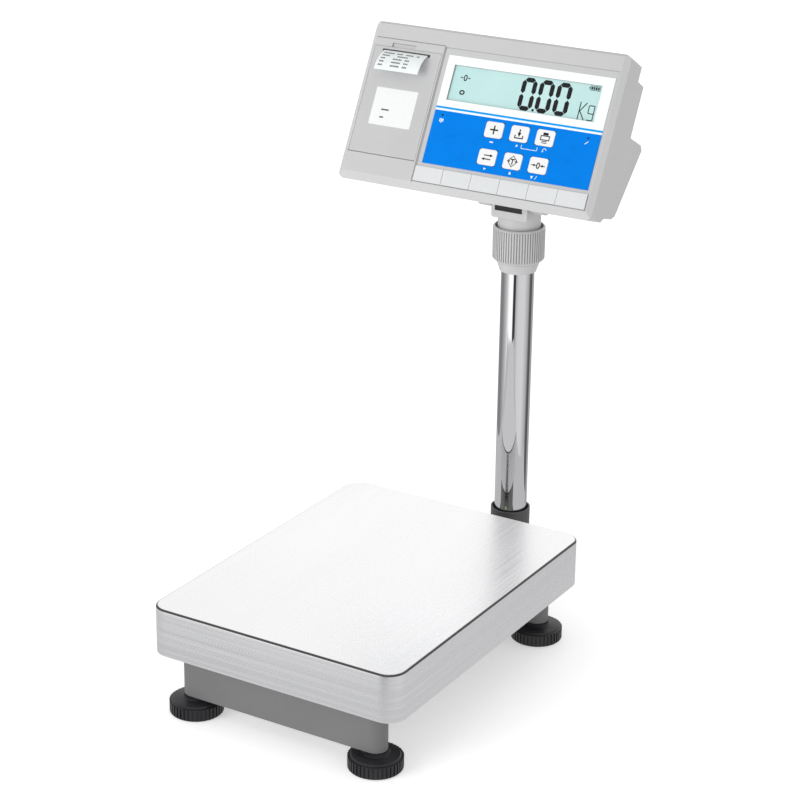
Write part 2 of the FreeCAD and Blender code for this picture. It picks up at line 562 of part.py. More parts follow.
def make_front_housing():
    shell = new_part("front_housing", "face")
    add(shell, "XY_Plane", "-shell_depth", "0",
        rectangle("-face_left", "-face_bottom", "face_right", "face_top"))
    round_edges(shell, "face_corner", ALONG_Z)
    # top and underside slope towards the back, with a bevel along the front edge
    cut(shell, "YZ_Plane", "-face_left - 1", "face_right + 1",
        polygon(("face_top - top_bevel", "0"), ("face_top + 1", "1"),
                ("face_top + 1", "-shell_depth - 1"),
                ("face_top - top_draft", "-shell_depth - 1"), ("face_top", "-top_bevel_depth")),
        polygon(("foot_bevel_height - face_bottom", "0"), ("-face_bottom - 1", "1"),
                ("-face_bottom - 1", "-shell_depth - 1"),
                ("back_rise - face_bottom", "-shell_depth - 1"),
                ("back_rise - face_bottom", "-shell_depth"),
                ("under_rise - face_bottom", "-under_depth"),
                ("-face_bottom", "-foot_bevel_depth")))
    # side bevels, and sides that draw in slightly towards the back
    cut(shell, "XZ_Plane", "-face_top - 1", "face_bottom + 1",
        polygon(("face_right - side_bevel", "0"), ("face_right + 1", "1"),
                ("face_right + 1", "-shell_depth - 1"),
                ("face_right - side_draft", "-shell_depth - 1"),
                ("face_right", "-side_bevel_depth")),
        polygon(("side_bevel - face_left", "0"), ("-face_left - 1", "1"),
                ("-face_left - 1", "-shell_depth - 1"),
                ("side_draft - face_left", "-shell_depth - 1"),
                ("-face_left", "-side_bevel_depth")))
    # a hollow that is open at the back below the rear housing's top and closed above it, and
    # that leaves a solid block round the hinge recess
    left = "shell_wall - face_left"
    right = "face_right - shell_wall"
    cut(shell, "XY_Plane", "-shell_depth - 1", "-shell_wall",
        polygon((left, "-cavity_bottom"), ("-block_wall", "-cavity_bottom"),
                ("-block_wall", "block_height"), ("block_wall", "block_height"),
                ("block_wall", "-cavity_bottom"), (right, "-cavity_bottom"),
                (right, "rear_top - shell_wall"), (left, "rear_top - shell_wall")))
    cut(shell, "XY_Plane", "-shell_depth + shell_wall", "-shell_wall",
        rectangle(left, "rear_top - shell_wall - 1", right, "cavity_top"))
    cut(shell, "YZ_Plane", "-ear_outer - gap", "ear_outer + gap", disc(*PIN, "recess_radius"))
    cut(shell, "XY_Plane", "-keyboard_front - board_thickness - gap", "-shell_wall",
        rectangle("-keyboard_left - gap", "keyboard_bottom - gap", "keyboard_right + gap",
                  "keyboard_top"))
    # printer door opening with its finger catch, and the grooves round the printer's cover
    cut(shell, "XY_Plane", "-shell_wall - 1", "1",
        rectangle("-door_left - gap", "-door_hinge - door_knuckle - gap", "gap - door_right",
                  "door_top + gap"))
    cut(shell, "XY_Plane", "-catch_depth", "1",
        rectangle("-catch_left", "door_top - 1", "-catch_right", "catch_top"))
    cut(shell, "XY_Plane", "-groove_depth", "1",
        rectangle("-groove_x", "-face_bottom - 1", "groove_width - groove_x", "panel_top + 1.5"),
        rectangle("-door_left - gap", "panel_top + 0.7", "-groove_x", "panel_top + 1.5"))
    # display panel: a shallow recess, the display window and the key openings
    cut(shell, "XY_Plane", "-panel_depth", "1",
        rectangle("-panel_left", "-panel_bottom", "panel_right", "panel_top"))
    cut(shell, "XY_Plane", "-shell_wall - 1", "0",
        rectangle("-window_left", "window_bottom", "window_right", "window_top"),
        *[key_outline(column, row, "key_gap") for column, row in KEYS.values()])
    # screw bosses, and the holes of the door's hinge pin
    add(shell, "XY_Plane", "-shell_depth", "-shell_wall",
        *[disc(across, up, "screw_boss") for across, up in SCREWS])
    cut(shell, "XY_Plane", "-shell_depth - 1", "-shell_depth + 13",
        *[disc(across, up, "screw_radius") for across, up in SCREWS])
    cut(shell, "YZ_Plane", "-door_left - pin_reach", "pin_reach - door_right",
        disc("-door_hinge", "-door_knuckle", "door_pin"))


def rear_outline(wall="0"):
    """Side view of the rear housing, drawn in by a wall thickness."""
    depth = f"-rear_depth + {wall}"
    return [
        (f"rear_top - {wall}", "-shell_depth"), (f"rear_top - 1 - {wall}", depth),
        (f"step_height - {wall}", depth),
        (f"step_height - {wall}", f"-bulge_shoulder + {wall}"),
        (f"bulge_top - {wall}", f"-bulge_depth + 1.3 * {wall}"),
        (f"{wall} - bulge_foot", f"-bulge_foot_depth + {wall}"),
        (f"{wall} - bulge_toe", f"-bulge_toe_depth + {wall}"),
        (f"back_rise - face_bottom + {wall}", "-shell_depth"),
    ]


def make_rear_housing():
    shell = new_part("rear_housing", "face")
    left = "rear_inset - face_left"
    right = "face_right - rear_inset"
    add(shell, "YZ_Plane", left, right, polygon(*rear_outline()))
    behind = -size("shell_depth") - 1
    round_edges(shell, "rear_round", ALONG_X, lambda middle: middle.z < behind)
    # hollow above the hinge block, and on each side of it
    inner_left = f"{left} + rear_wall"
    inner_right = f"{right} - rear_wall"
    inside = rear_outline("rear_wall")
    upper = [*inside[:5], ("block_height", "-block_back"), ("block_height", "-shell_depth")]
    cut(shell, "YZ_Plane", inner_left, inner_right, polygon(*upper))
    lower = [("block_height + 1", "-shell_depth"), ("block_height + 1", "-block_back"),
             *inside[5:]]
    cut(shell, "YZ_Plane", inner_left, "-block_wall", polygon(*lower))
    cut(shell, "YZ_Plane", "block_wall", inner_right, polygon(*lower))
    # hinge ears and the recess between them
    add(shell, "YZ_Plane", "-ear_outer", "ear_outer", disc(*PIN, "ear_radius"))
    cut(shell, "YZ_Plane", "-recess_half", "recess_half", disc(*PIN, "recess_radius"))
    cut(shell, "YZ_Plane", "-pin_half - gap", "pin_half + gap", disc(*PIN, "pin_radius + running"))
    # screw columns, their holes and the counterbores
    add(shell, "XY_Plane", "-rear_depth + 1", "-shell_depth",
        *[disc(across, up, "screw_boss") for across, up in HIGH_SCREWS])
    add(shell, "XY_Plane", "-bulge_foot_depth", "-shell_depth",
        *[disc(across, up, "screw_boss") for across, up in LOW_SCREWS])
    cut(shell, "XY_Plane", "-bulge_depth - 1", "-shell_depth + 1",
        *[disc(across, up, "screw_radius + running") for across, up in SCREWS])
    cut(shell, "XY_Plane", "-bulge_depth - 1", "-screw_seat",
        *[disc(across, up, "screw_head + gap") for across, up in SCREWS])
    # openings for the sockets and the switch
    cut(shell, "XY_Plane", "-rear_depth - 1", "-rear_depth + rear_wall + 1",
        disc("cell_port_x", "port_y", "cell_port_radius"),
        rectangle("serial_x - serial_half + 4", "port_y - serial_height_half + 1",
                  "serial_x + serial_half - 4", "port_y + serial_height_half - 1"),
        disc("inlet_x", "port_y", "inlet_radius"),
        rectangle("switch_x - switch_half", "port_y - switch_half_height",
                  "switch_x + switch_half", "port_y + switch_half_height"))


def make_housing_screws():
    screws = new_part("housing_screws", "face")
    add(screws, "XY_Plane", "-screw_seat", "-shell_depth + 12",
        *[disc(across, up, "screw_radius") for across, up in SCREWS])
    add(screws, "XY_Plane", "-screw_seat - 2.2", "-screw_seat",
        *[disc(across, up, "screw_head") for across, up in SCREWS])


# ---------------------------------------------------------------- display, keys, electronics

def make_panel():
    overlay = new_part("keypad_overlay", "face")
    add(overlay, "XY_Plane", "-panel_depth", "-overlay_sink",
        rectangle("-overlay_left", "-overlay_bottom", "overlay_right", "overlay_top"))
    cut(overlay, "XY_Plane", "-panel_depth - 1", "0",
        rectangle("-window_left", "window_bottom", "window_right", "window_top"),
        *[key_outline(column, row, "key_gap") for column, row in KEYS.values()])

    strip = new_part("marker_strip", "face")
    add(strip, "XY_Plane", "-panel_depth", "strip_proud",
        rectangle("-strip_left", "-strip_bottom", "strip_right", "-strip_top"))
    pitch = "(strip_left + strip_right) / 6"
    grooves = [rectangle(f"{number} * {pitch} - strip_left - strip_groove / 2", "-strip_bottom - 1",
                         f"{number} * {pitch} - strip_left + strip_groove / 2", "1 - strip_top")
               for number in range(1, 6)]
    cut(strip, "XY_Plane", "strip_proud - strip_groove_depth", "strip_proud + 1", *grooves)

    glass = new_part("display_glass", "face")
    add(glass, "XY_Plane", "-shell_wall", "-shell_wall + glass_thickness",
        rectangle("-window_left", "window_bottom", "window_right", "window_top"))
    module = new_part("display_module", "face")
    add(module, "XY_Plane", "-shell_wall - module_depth", "-shell_wall",
        rectangle("-window_left - module_margin", "window_bottom - module_margin",
                  "window_right + module_margin", "window_top + module_margin"))


def make_keys():
    for name, (column, row) in KEYS.items():
        key = new_part(name, "face")
        add(key, "XY_Plane", "-key_back", "key_proud - overlay_sink",
            key_outline(column, row, "0"))
        round_edges(key, "key_corner", ALONG_Z)


def make_electronics():
    keyboard = new_part("keypad_board", "face")
    add(keyboard, "XY_Plane", "-keyboard_front - board_thickness", "-keyboard_front",
        rectangle("-keyboard_left", "keyboard_bottom", "keyboard_right", "keyboard_top"))
    board = new_part("main_board", "face")
    add(board, "XY_Plane", "-main_front - board_thickness", "-main_front",
        rectangle("-main_left", "main_bottom", "main_right", "main_top"))
    battery = new_part("battery_pack", "face")
    add(battery, "XY_Plane", "-battery_back", "-battery_front",
        rectangle("-battery_half", "battery_bottom", "battery_half", "battery_top"))
    round_edges(battery, "battery_corner", ALONG_X)


def make_connectors():
    outside = "-rear_depth - flange_thickness"
    port = new_part("load_cell_port", "face")
    add(port, "XY_Plane", "-rear_depth", "-port_front",
        disc("cell_port_x", "port_y", "cell_port_radius"))
    add(port, "XY_Plane", outside, "-rear_depth",
        disc("cell_port_x", "port_y", "cell_port_flange"))
    cut(port, "XY_Plane", "-rear_depth - 3", "-rear_depth + 7",
        disc("cell_port_x", "port_y", "cell_port_radius - 2"))

    serial = new_part("serial_port", "face")
    add(serial, "XY_Plane", "-rear_depth", "-port_front",
        rectangle("serial_x - serial_half + 4", "port_y - serial_height_half + 1",
                  "serial_x + serial_half - 4", "port_y + serial_height_half - 1"))
    add(serial, "XY_Plane", outside, "-rear_depth",
        rectangle("serial_x - serial_half", "port_y - serial_height_half",
                  "serial_x + serial_half", "port_y + serial_height_half"))
    cut(serial, "XY_Plane", "-rear_depth - 3", "-rear_depth + 2",
        rectangle("serial_x - serial_half + 6.5", "port_y - serial_height_half + 2.2",
                  "serial_x + serial_half - 6.5", "port_y + serial_height_half - 2.2"))

    inlet = new_part("power_inlet", "face")
    add(inlet, "XY_Plane", "-rear_depth", "-port_front", disc("inlet_x", "port_y", "inlet_radius"))
    add(inlet, "XY_Plane", outside, "-rear_depth", disc("inlet_x", "port_y", "inlet_flange"))
    cut(inlet, "XY_Plane", "-rear_depth - 3", "-rear_depth + jack_depth",
        disc("inlet_x", "port_y", "jack_radius"))

    frame = new_part("switch_frame", "face")
    inner = ["switch_x - switch_half + switch_frame", "port_y - rocker_reach - rocker_room",
             "switch_x + switch_half - switch_frame", "port_y + rocker_reach + rocker_room"]
    pivot = ("port_y", "-rear_depth + rocker_pivot")
    add(frame, "XY_Plane", "-rear_depth", "-port_front",
        rectangle("switch_x - switch_half", "port_y - switch_half_height",
                  "switch_x + switch_half", "port_y + switch_half_height"))
    add(frame, "XY_Plane", outside, "-rear_depth",
        rectangle("switch_x - switch_half - switch_frame",
                  "port_y - switch_half_height - switch_frame",
                  "switch_x + switch_half + switch_frame",
                  "port_y + switch_half_height + switch_frame"))
    cut(frame, "XY_Plane", "-rear_depth - 3", "-port_front - 3", rectangle(*inner))
    cut(frame, "YZ_Plane", "switch_x - rocker_half - 1 - gap", "switch_x + rocker_half + 1 + gap",
        disc(*pivot, "rocker_pin + running"))

    rocker = new_part("power_rocker", "face")
    add(rocker, "YZ_Plane", "switch_x - rocker_half", "switch_x + rocker_half",
        polygon(("port_y + rocker_reach", "-rear_depth - rocker_proud"),
                ("port_y", "-rear_depth - flange_thickness / 2"),
                ("port_y - rocker_reach", "-rear_depth - flange_thickness / 2"),
                ("port_y - rocker_reach + 1.5", "-rear_depth + 2.4"),
                ("port_y", "-rear_depth + 4"),
                ("port_y + rocker_reach - 1", "-rear_depth + 1")))
    add(rocker, "YZ_Plane", "switch_x - rocker_half - 1", "switch_x + rocker_half + 1",
        disc(*pivot, "rocker_pin"))


# ---------------------------------------------------------------- printer

def make_printer_door():
    """Cover hinged at its lower edge; it carries the platen roller behind the paper slot."""
    door = new_part("printer_door", "face")
    add(door, "XY_Plane", "-door_thickness", "0",
        rectangle("-door_left", "-door_hinge", "-door_right", "door_top"))
    add(door, "YZ_Plane", "-door_left", "-door_right",
        disc("-door_hinge", "-door_knuckle", "door_knuckle"))
    arms = [("-door_left + 4", "-door_left + 4 + arm_thickness"),
            ("-door_right - 4 - arm_thickness", "-door_right - 4")]
    for left, right in arms:
        add(door, "YZ_Plane", left, right,
            rectangle("arm_low", "-arm_end", "slot_high - 1", "-door_thickness + 1"))
    cut(door, "XY_Plane", "-door_thickness - 1", "1",
        rectangle("-paper_left - 1", "slot_low", "1 - paper_right", "slot_high"))
    cut(door, "YZ_Plane", "-door_left - 1", "1 - door_right",
        disc("platen_y", "-platen_depth", "axle_radius + running"))
    cut(door, "YZ_Plane", "-door_left - 1", "1 - door_right",
        disc("-door_hinge", "-door_knuckle", "door_pin + running"))
    pin = new_part("door_hinge_pin", "face")
    add(pin, "YZ_Plane", "-door_left - pin_reach", "pin_reach - door_right",
        disc("-door_hinge", "-door_knuckle", "door_pin"))


def make_printer():
    platen = new_part("platen_roller", "face")
    add(platen, "YZ_Plane", "-paper_left + 0.5", "-paper_right - 0.5",
        disc("platen_y", "-platen_depth", "platen_radius"))
    add(platen, "YZ_Plane", "-door_left + 4", "-door_right - 4",
        disc("platen_y", "-platen_depth", "axle_radius"))

    head = new_part("print_head", "face")
    add(head, "YZ_Plane", "-paper_left - 4", "4 - paper_right",
        rectangle("head_low", "-head_back", "head_high", "-head_front"))

    chassis = new_part("printer_chassis", "face")
    cheeks = [("-paper_left - 4 - chassis_wall", "-paper_left - 4"),
              ("4 - paper_right", "4 - paper_right + chassis_wall")]
    for left, right in cheeks:
        add(chassis, "YZ_Plane", left, right,
            rectangle("chassis_low", "-chassis_back", "arm_low - 3", "-chassis_front"))
        add(chassis, "YZ_Plane", left, right,
            rectangle("arm_low - 3", "-chassis_back", "rear_top - 5", "-head_back"))
    add(chassis, "YZ_Plane", "-paper_left - 4 - chassis_wall", "4 - paper_right + chassis_wall",
        rectangle("chassis_low", "-chassis_back - chassis_wall", "rear_top - 5", "-chassis_back"),
        rectangle("head_low", "-head_back - chassis_wall", "head_high - 3", "-head_back"))

    spindle = new_part("roll_spindle", "face")
    add(spindle, "YZ_Plane", "-paper_left - 4", "4 - paper_right",
        disc("roll_y", "-roll_depth", "roll_core"))
    roll = new_part("paper_roll", "face")
    add(roll, "YZ_Plane", "-paper_left + 1.5", "-paper_right - 1.5",
        disc("roll_y", "-roll_depth", "roll_radius"),
        disc("roll_y", "-roll_depth", "roll_core + running"))

    motor = new_part("printer_motor", "face")
    add(motor, "YZ_Plane", "-paper_left + 18", "-paper_right - 18",
        disc("motor_y", "-motor_depth", "motor_radius"))


def make_paper_strip():
    """The printed slip: straight off the platen, then curling forward and down."""
    left = -size("paper_left - 1.5")
    start = FreeCAD.Vector(left, size("platen_y + platen_radius + paper_thickness"),
                           -size("platen_depth"))
    mouth = FreeCAD.Vector(left, size("(slot_low + slot_high) / 2"), 0)
    end = mouth + FreeCAD.Vector(0, -size("paper_drop"), size("paper_reach"))
    chord = end - mouth
    outward = FreeCAD.Vector(0, -chord.z, chord.y).normalize() * -size("paper_bulge")
    middle = (mouth + end) / 2 + outward
    path = Part.Wire([Part.LineSegment(start, mouth).toShape(),
                      Part.Arc(mouth, middle, end).toShape()])
    face = path.makeOffset2D(size("paper_thickness"), fill=True, openResult=True)
    strip = face.extrude(FreeCAD.Vector(size("paper_left - paper_right - 3"), 0, 0))
    paper = doc.addObject("Part::Feature", "paper_strip")
    paper.Shape = strip
    paper.Label = "paper_strip"
    place(paper, "face")
    nodes.append(paper)


# ---------------------------------------------------------------- the whole scale

make_base_frame()
make_overload_stops()
for foot_name, (foot_across, foot_back) in FEET.items():
    make_foot(foot_name, foot_across, foot_back)
make_load_cell()
make_pan_support()
make_pan()
make_pillar()
make_lock_ring()
make_head()
make_front_housing()
make_rear_housing()
make_housing_screws()
make_panel()
make_keys()
make_electronics()
make_connectors()
make_printer_door()
make_printer()
make_paper_strip()
doc.recompute()

for item in doc.Objects:
    if {"Invalid", "Error"} & set(item.State):
        raise ValueError(f"{item.Label} failed: {item.State}")
for node in nodes:
    if node.Shape.isNull() or not node.Shape.isValid():
        raise ValueError(f"{node.Label} has no valid shape")

os.makedirs("parts", exist_ok=True)
for node in nodes:
    node.Shape.exportStep(f"parts/{node.Label}.step")
box = Part.makeCompound([node.Shape for node in nodes]).optimalBoundingBox()
print(f"{len(nodes)} nodes, X {box.XMin:.2f} to {box.XMax:.2f}, "
      f"Y {box.YMin:.2f} to {box.YMax:.2f}, Z {box.ZMin:.2f} to {box.ZMax:.2f}")
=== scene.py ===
import json
import math

import bpy
from mathutils import Matrix, Vector


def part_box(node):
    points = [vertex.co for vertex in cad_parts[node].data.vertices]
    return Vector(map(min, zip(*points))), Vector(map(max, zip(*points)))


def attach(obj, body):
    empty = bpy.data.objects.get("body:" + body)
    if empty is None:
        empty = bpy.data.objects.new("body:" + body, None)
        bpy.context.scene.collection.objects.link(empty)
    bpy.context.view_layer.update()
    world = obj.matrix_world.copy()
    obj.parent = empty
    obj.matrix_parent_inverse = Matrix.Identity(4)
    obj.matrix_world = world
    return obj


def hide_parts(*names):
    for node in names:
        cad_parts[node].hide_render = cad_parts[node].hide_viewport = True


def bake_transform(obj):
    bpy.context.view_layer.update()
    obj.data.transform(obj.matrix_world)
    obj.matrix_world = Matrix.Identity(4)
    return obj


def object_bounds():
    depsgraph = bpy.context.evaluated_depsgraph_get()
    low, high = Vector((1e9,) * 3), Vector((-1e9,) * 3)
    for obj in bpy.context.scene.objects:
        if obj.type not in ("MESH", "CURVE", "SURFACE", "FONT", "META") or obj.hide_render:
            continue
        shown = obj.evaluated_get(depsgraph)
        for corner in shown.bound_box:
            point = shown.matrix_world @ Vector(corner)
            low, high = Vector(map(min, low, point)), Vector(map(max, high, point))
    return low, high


# Bench scale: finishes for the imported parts, and the printed and small pieces that lie on them.
# Lengths are in metres, except that outlines, heights and widths on the face, the slip and the
# level are in millimetres. A value that is multiplied by MM is given in millimetres too.

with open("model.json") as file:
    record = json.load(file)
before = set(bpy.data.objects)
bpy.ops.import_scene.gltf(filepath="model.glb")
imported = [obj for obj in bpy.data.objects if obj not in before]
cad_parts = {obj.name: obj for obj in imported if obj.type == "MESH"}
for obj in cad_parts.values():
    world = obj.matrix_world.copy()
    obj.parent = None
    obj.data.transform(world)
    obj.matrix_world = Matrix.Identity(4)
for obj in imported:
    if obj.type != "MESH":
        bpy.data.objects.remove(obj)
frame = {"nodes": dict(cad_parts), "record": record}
cad_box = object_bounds()

MM = 0.001
FACE_TILT = math.radians(27.4)
FILM_DEPTH = 0.4
WHITE_LIGHT = (1, 1, 1, 1)
BLACK = (0, 0, 0)


# ---------------------------------------------------------------- the indicator's face frame

def face_frame():
    """Origin and directions of the face: x to the right, v up the face, out towards the user.

    The overlay's box places the origin. The overlay lies sunk in the face, and reaches from the
    origin to its left, bottom and top edges by those lengths."""
    low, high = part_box("keypad_overlay")
    rise, run = math.cos(FACE_TILT), math.sin(FACE_TILT)
    left, bottom, top, sink = 105.0 * MM, 10.1 * MM, 116.5 * MM, FILM_DEPTH * MM
    origin = Vector((low.x + left, low.y + bottom * run - sink * rise,
                     high.z - top * rise + sink * run))
    return origin, Vector((1, 0, 0)), Vector((0, run, rise)), Vector((0, -rise, run))


FACE_ORIGIN, ACROSS, UP, OUT = face_frame()


def on_face(x, v, height):
    """A point on the face, from millimetres across, up and out of it."""
    return FACE_ORIGIN + (ACROSS * x + UP * v + OUT * height) * MM


# ---------------------------------------------------------------- materials

class Finish:
    """A Principled material with short ways to vary it over the surface."""

    def __init__(self, name, colour, roughness, **sockets):
        self.material = bpy.data.materials.new(name)
        self.material.use_nodes = True
        self.tree = self.material.node_tree
        self.shader = self.tree.nodes["Principled BSDF"]
        self.shader.inputs["Base Color"].default_value = (*colour, 1)
        self.shader.inputs["Roughness"].default_value = roughness
        for socket, value in sockets.items():
            self.shader.inputs[socket.replace("_", " ")].default_value = value

    def node(self, kind, inputs=(), **settings):
        """A node with its settings; inputs pairs a socket with a number or another output."""
        node = self.tree.nodes.new(kind)
        for setting, value in settings.items():
            setattr(node, setting, value)
        for socket, value in inputs:
            if isinstance(value, bpy.types.NodeSocket):
                self.tree.links.new(value, node.inputs[socket])
            else:
                node.inputs[socket].default_value = value
        return node

    def place(self, stretch=(1, 1, 1)):
        """Object coordinates, scaled along each axis."""
        coordinates = self.node("ShaderNodeTexCoord").outputs["Object"]
        mapping = self.node("ShaderNodeMapping", [("Vector", coordinates), ("Scale", stretch)])
        return mapping.outputs["Vector"]

    def noise(self, scale, detail=2.0, stretch=(1, 1, 1)):
        """A soft random pattern from 0 to 1; a small stretch makes it long along that axis."""
        texture = self.node("ShaderNodeTexNoise", [("Vector", self.place(stretch)),
                                                   ("Scale", scale), ("Detail", detail)])
        return texture.outputs["Fac"]

    def spread(self, factor, low, high, start=0.3, end=0.7):
        """The factor's range from start to end, stretched from low to high."""
        node = self.node("ShaderNodeMapRange", [("Value", factor), ("From Min", start),
                                                ("From Max", end), ("To Min", low),
                                                ("To Max", high)])
        return node.outputs["Result"]

    def maths(self, operation, first, second=0.0):
        """One sum on two outputs or numbers."""
        node = self.node("ShaderNodeMath", [(0, first), (1, second)], operation=operation)
        return node.outputs["Value"]

    def mix(self, factor, first, second):
        """A colour between two others, which are outputs or rgb triples."""
        pair = [value if isinstance(value, bpy.types.NodeSocket) else (*value, 1)
                for value in (first, second)]
        node = self.node("ShaderNodeMix", [(0, factor), (6, pair[0]), (7, pair[1])],
                         data_type="RGBA")
        return node.outputs[2]

    def drive(self, socket, value):
        """Feed an output to one of the shader's sockets."""
        self.tree.links.new(value, self.shader.inputs[socket])
        return self

    def bump(self, height, strength, distance):
        """Relief from an output, as deep as the distance at its highest."""
        node = self.node("ShaderNodeBump", [("Height", height), ("Strength", strength),
                                            ("Distance", distance)])
        return self.drive("Normal", node.outputs["Normal"])


def grey(level):
    """A grey with a trace of blue."""
    return (level, level, level * 1.01)


def scaled(colour, factor):
    """The colour times a factor."""
    return tuple(channel * factor for channel in colour)


def lifted(colour, amount):
    """The colour with the same amount added to each channel."""
    return tuple(channel + amount for channel in colour)


def moulded(name, colour, roughness, depth=0.05 * MM, shade=0.93):
    """Injection-moulded plastic: a spark-eroded grain, with faint flow marks in the colour."""
    finish = Finish(name, colour, roughness)
    flow = finish.noise(14, 3.0)
    speckle = finish.noise(900, 2.0)
    finish.drive("Base Color", finish.mix(finish.spread(flow, 0, 1), scaled(colour, shade), colour))
    finish.drive("Roughness", finish.spread(speckle, roughness - 0.06, roughness + 0.08))
    return finish.bump(speckle, 0.35, depth)


def with_painted_groove_shade(finish, darkest, reach=2.5 * MM):
    """The finish again, with painted shade in grooves and seams narrower than the reach.

    The darkest groove keeps that share of the colour."""
    colour = finish.shader.inputs["Base Color"].links[0].from_socket
    # Painted shade: ambient occlusion darkens the colour towards near black in narrow grooves and
    # seams.
    deep, shallow, dust_and_groove_shade = 0.35, 0.85, grey(0.004)
    openness = finish.node("ShaderNodeAmbientOcclusion", [("Distance", reach)], samples=8)
    unshaded_share = finish.spread(openness.outputs["AO"], darkest, 1, deep, shallow)
    return finish.drive("Base Color", finish.mix(unshaded_share, dust_and_groove_shade, colour))


def rubber(name, colour, roughness=0.55):
    """Moulded rubber: dusty patches, a fine pitted skin and a weak sheen."""
    finish = Finish(name, colour, roughness, Sheen_Weight=0.04, Sheen_Roughness=0.4)
    dust_and_groove_shade = finish.noise(40, 4.0)
    finish.drive("Base Color", finish.mix(finish.spread(dust_and_groove_shade, 0, 1), colour, lifted(colour, 0.018)))
    finish.drive("Roughness", finish.spread(dust_and_groove_shade, roughness - 0.1, roughness + 0.15))
    return finish.bump(finish.noise(700, 3.0), 0.4, 0.08 * MM)


def painted(name, colour, roughness=0.5):
    """Powder coat: orange-peel relief and slight colour drift."""
    finish = Finish(name, colour, roughness, Coat_Weight=0.12, Coat_Roughness=0.35)
    drift = finish.noise(9, 3.0)
    peel = finish.noise(420, 2.0)
    finish.drive("Base Color", finish.mix(finish.spread(drift, 0, 1), scaled(colour, 0.9), colour))
    finish.drive("Roughness", finish.spread(peel, roughness - 0.08, roughness + 0.1))
    return finish.bump(peel, 0.5, 0.12 * MM)


def metal(name, colour, roughness=0.3, stretch=(1, 1, 1), scale=300):
    """Bare or plated metal with fine machining marks, longest where the stretch is smallest."""
    finish = Finish(name, colour, roughness, Metallic=1.0)
    marks = finish.noise(scale, 3.0, stretch)
    finish.drive("Base Color", finish.mix(finish.spread(marks, 0, 1), scaled(colour, 0.86), colour))
    finish.drive("Roughness", finish.spread(marks, roughness - 0.07, roughness + 0.1))
    return finish.bump(marks, 0.25, 0.03 * MM)


def brushed_pan():
    """Stainless sheet brushed along the top and round the skirt, with a painted dark reflection in the
    folded edge.

    The normal's level is 0 on the skirt and 1 on the top. The fold lies between them."""
    finish = Finish("brushed_stainless", grey(0.86), 0.34, Metallic=1.0)
    normal = finish.node("ShaderNodeNewGeometry").outputs["True Normal"]
    level = finish.node("ShaderNodeSeparateXYZ", [(0, normal)]).outputs["Z"]
    upward = finish.spread(level, 0, 1, 0.85, 0.95)
    fold = finish.maths("MULTIPLY", finish.spread(level, 0, 1, 0.12, 0.4),
                        finish.spread(level, 1, 0, 0.93, 0.985))

    top_lines = finish.noise(1, 1.0, (380, 2, 380))
    side_lines = finish.noise(1, 1.0, (2, 2, 420))
    patches = finish.noise(6, 3.0, (1, 0.35, 1))
    lines = finish.node("ShaderNodeMix", [(0, upward), (2, side_lines), (3, top_lines)],
                        data_type="FLOAT").outputs[0]

    # Painted light: the top's tones are lighter than the skirt's, though both are the same sheet.
    skirt_shade, top_shade, skirt_bright, top_bright = grey(0.84), grey(0.91), grey(0.94), grey(0.99)
    shade = finish.mix(upward, skirt_shade, top_shade)
    bright = finish.mix(upward, skirt_bright, top_bright)
    # Painted reflection: the folded edge is coloured near black, as a dark surround mirrored in it
    # would look.
    painted_fold_reflection = grey(0.1)
    streaked = finish.mix(finish.spread(lines, 0, 1), shade, bright)
    clouded = finish.mix(finish.spread(patches, 0, 0.6, 0.35, 0.6), streaked, bright)
    finish.drive("Base Color", finish.mix(fold, clouded, painted_fold_reflection))
    finish.drive("Roughness", finish.spread(lines, 0.24, 0.32))
    return finish


def chrome():
    """Polished plate with faint hairlines and a little haze."""
    finish = Finish("chrome_plate", (0.78, 0.78, 0.79), 0.05, Metallic=1.0)
    haze = finish.noise(8, 4.0, (1, 1, 0.2))
    finish.drive("Roughness", finish.spread(haze, 0.02, 0.05))
    return finish.bump(finish.noise(1, 2.0, (600, 600, 8)), 0.04, 0.02 * MM)


def face_height(finish):
    """Millimetres up the face, for a finish that is printed in bands."""
    coordinates = finish.node("ShaderNodeTexCoord").outputs["Object"]
    dot = finish.node("ShaderNodeVectorMath", [(0, coordinates), (1, tuple(UP))],
                      operation="DOT_PRODUCT").outputs["Value"]
    return finish.maths("DIVIDE", finish.maths("SUBTRACT", dot, FACE_ORIGIN.dot(UP)), MM)


def printed_overlay():
    """Membrane film: white above, a cyan line, and a blue field below it."""
    white, cyan, blue = (0.89, 0.93, 0.925), (0.0, 0.33, 0.84), (0.0, 0.21, 0.78)
    finish = Finish("overlay_film", white, 0.32, Specular_IOR_Level=0.06)
    height = face_height(finish)
    line_low, line_high, blue_top = 54.6, 57.0, 52.3
    line = finish.maths("MULTIPLY", finish.maths("GREATER_THAN", height, line_low),
                        finish.maths("LESS_THAN", height, line_high))
    field = finish.maths("LESS_THAN", height, blue_top)
    mottle = finish.noise(60, 3.0)
    deep = finish.mix(finish.spread(mottle, 0, 1), scaled(blue, 0.93), blue)
    banded = finish.mix(line, finish.mix(field, white, deep), cyan)
    finish.drive("Base Color", banded)
    finish.drive("Roughness", finish.spread(mottle, 0.26, 0.38))
    return finish.bump(finish.noise(1600, 2.0), 0.2, 0.03 * MM)


def reflector():
    """The display's pale green reflector, cloudy where the light spreads in it."""
    finish = Finish("display_reflector", (0.56, 0.80, 0.79), 0.5, Specular_IOR_Level=0.1)
    deep, pale = (0.53, 0.79, 0.78), (0.61, 0.83, 0.81)
    cloud = finish.noise(16, 3.0)
    finish.drive("Base Color", finish.mix(finish.spread(cloud, 0, 1), deep, pale))
    return finish.bump(finish.noise(1200, 2.0), 0.1, 0.02 * MM)


def window_glass():
    """Clear window, a little hazy in patches."""
    finish = Finish("display_window", (0.04, 0.05, 0.05), 0.08, Alpha=0.04)
    haze = finish.noise(30, 3.0)
    finish.drive("Roughness", finish.spread(haze, 0.05, 0.13))
    return finish


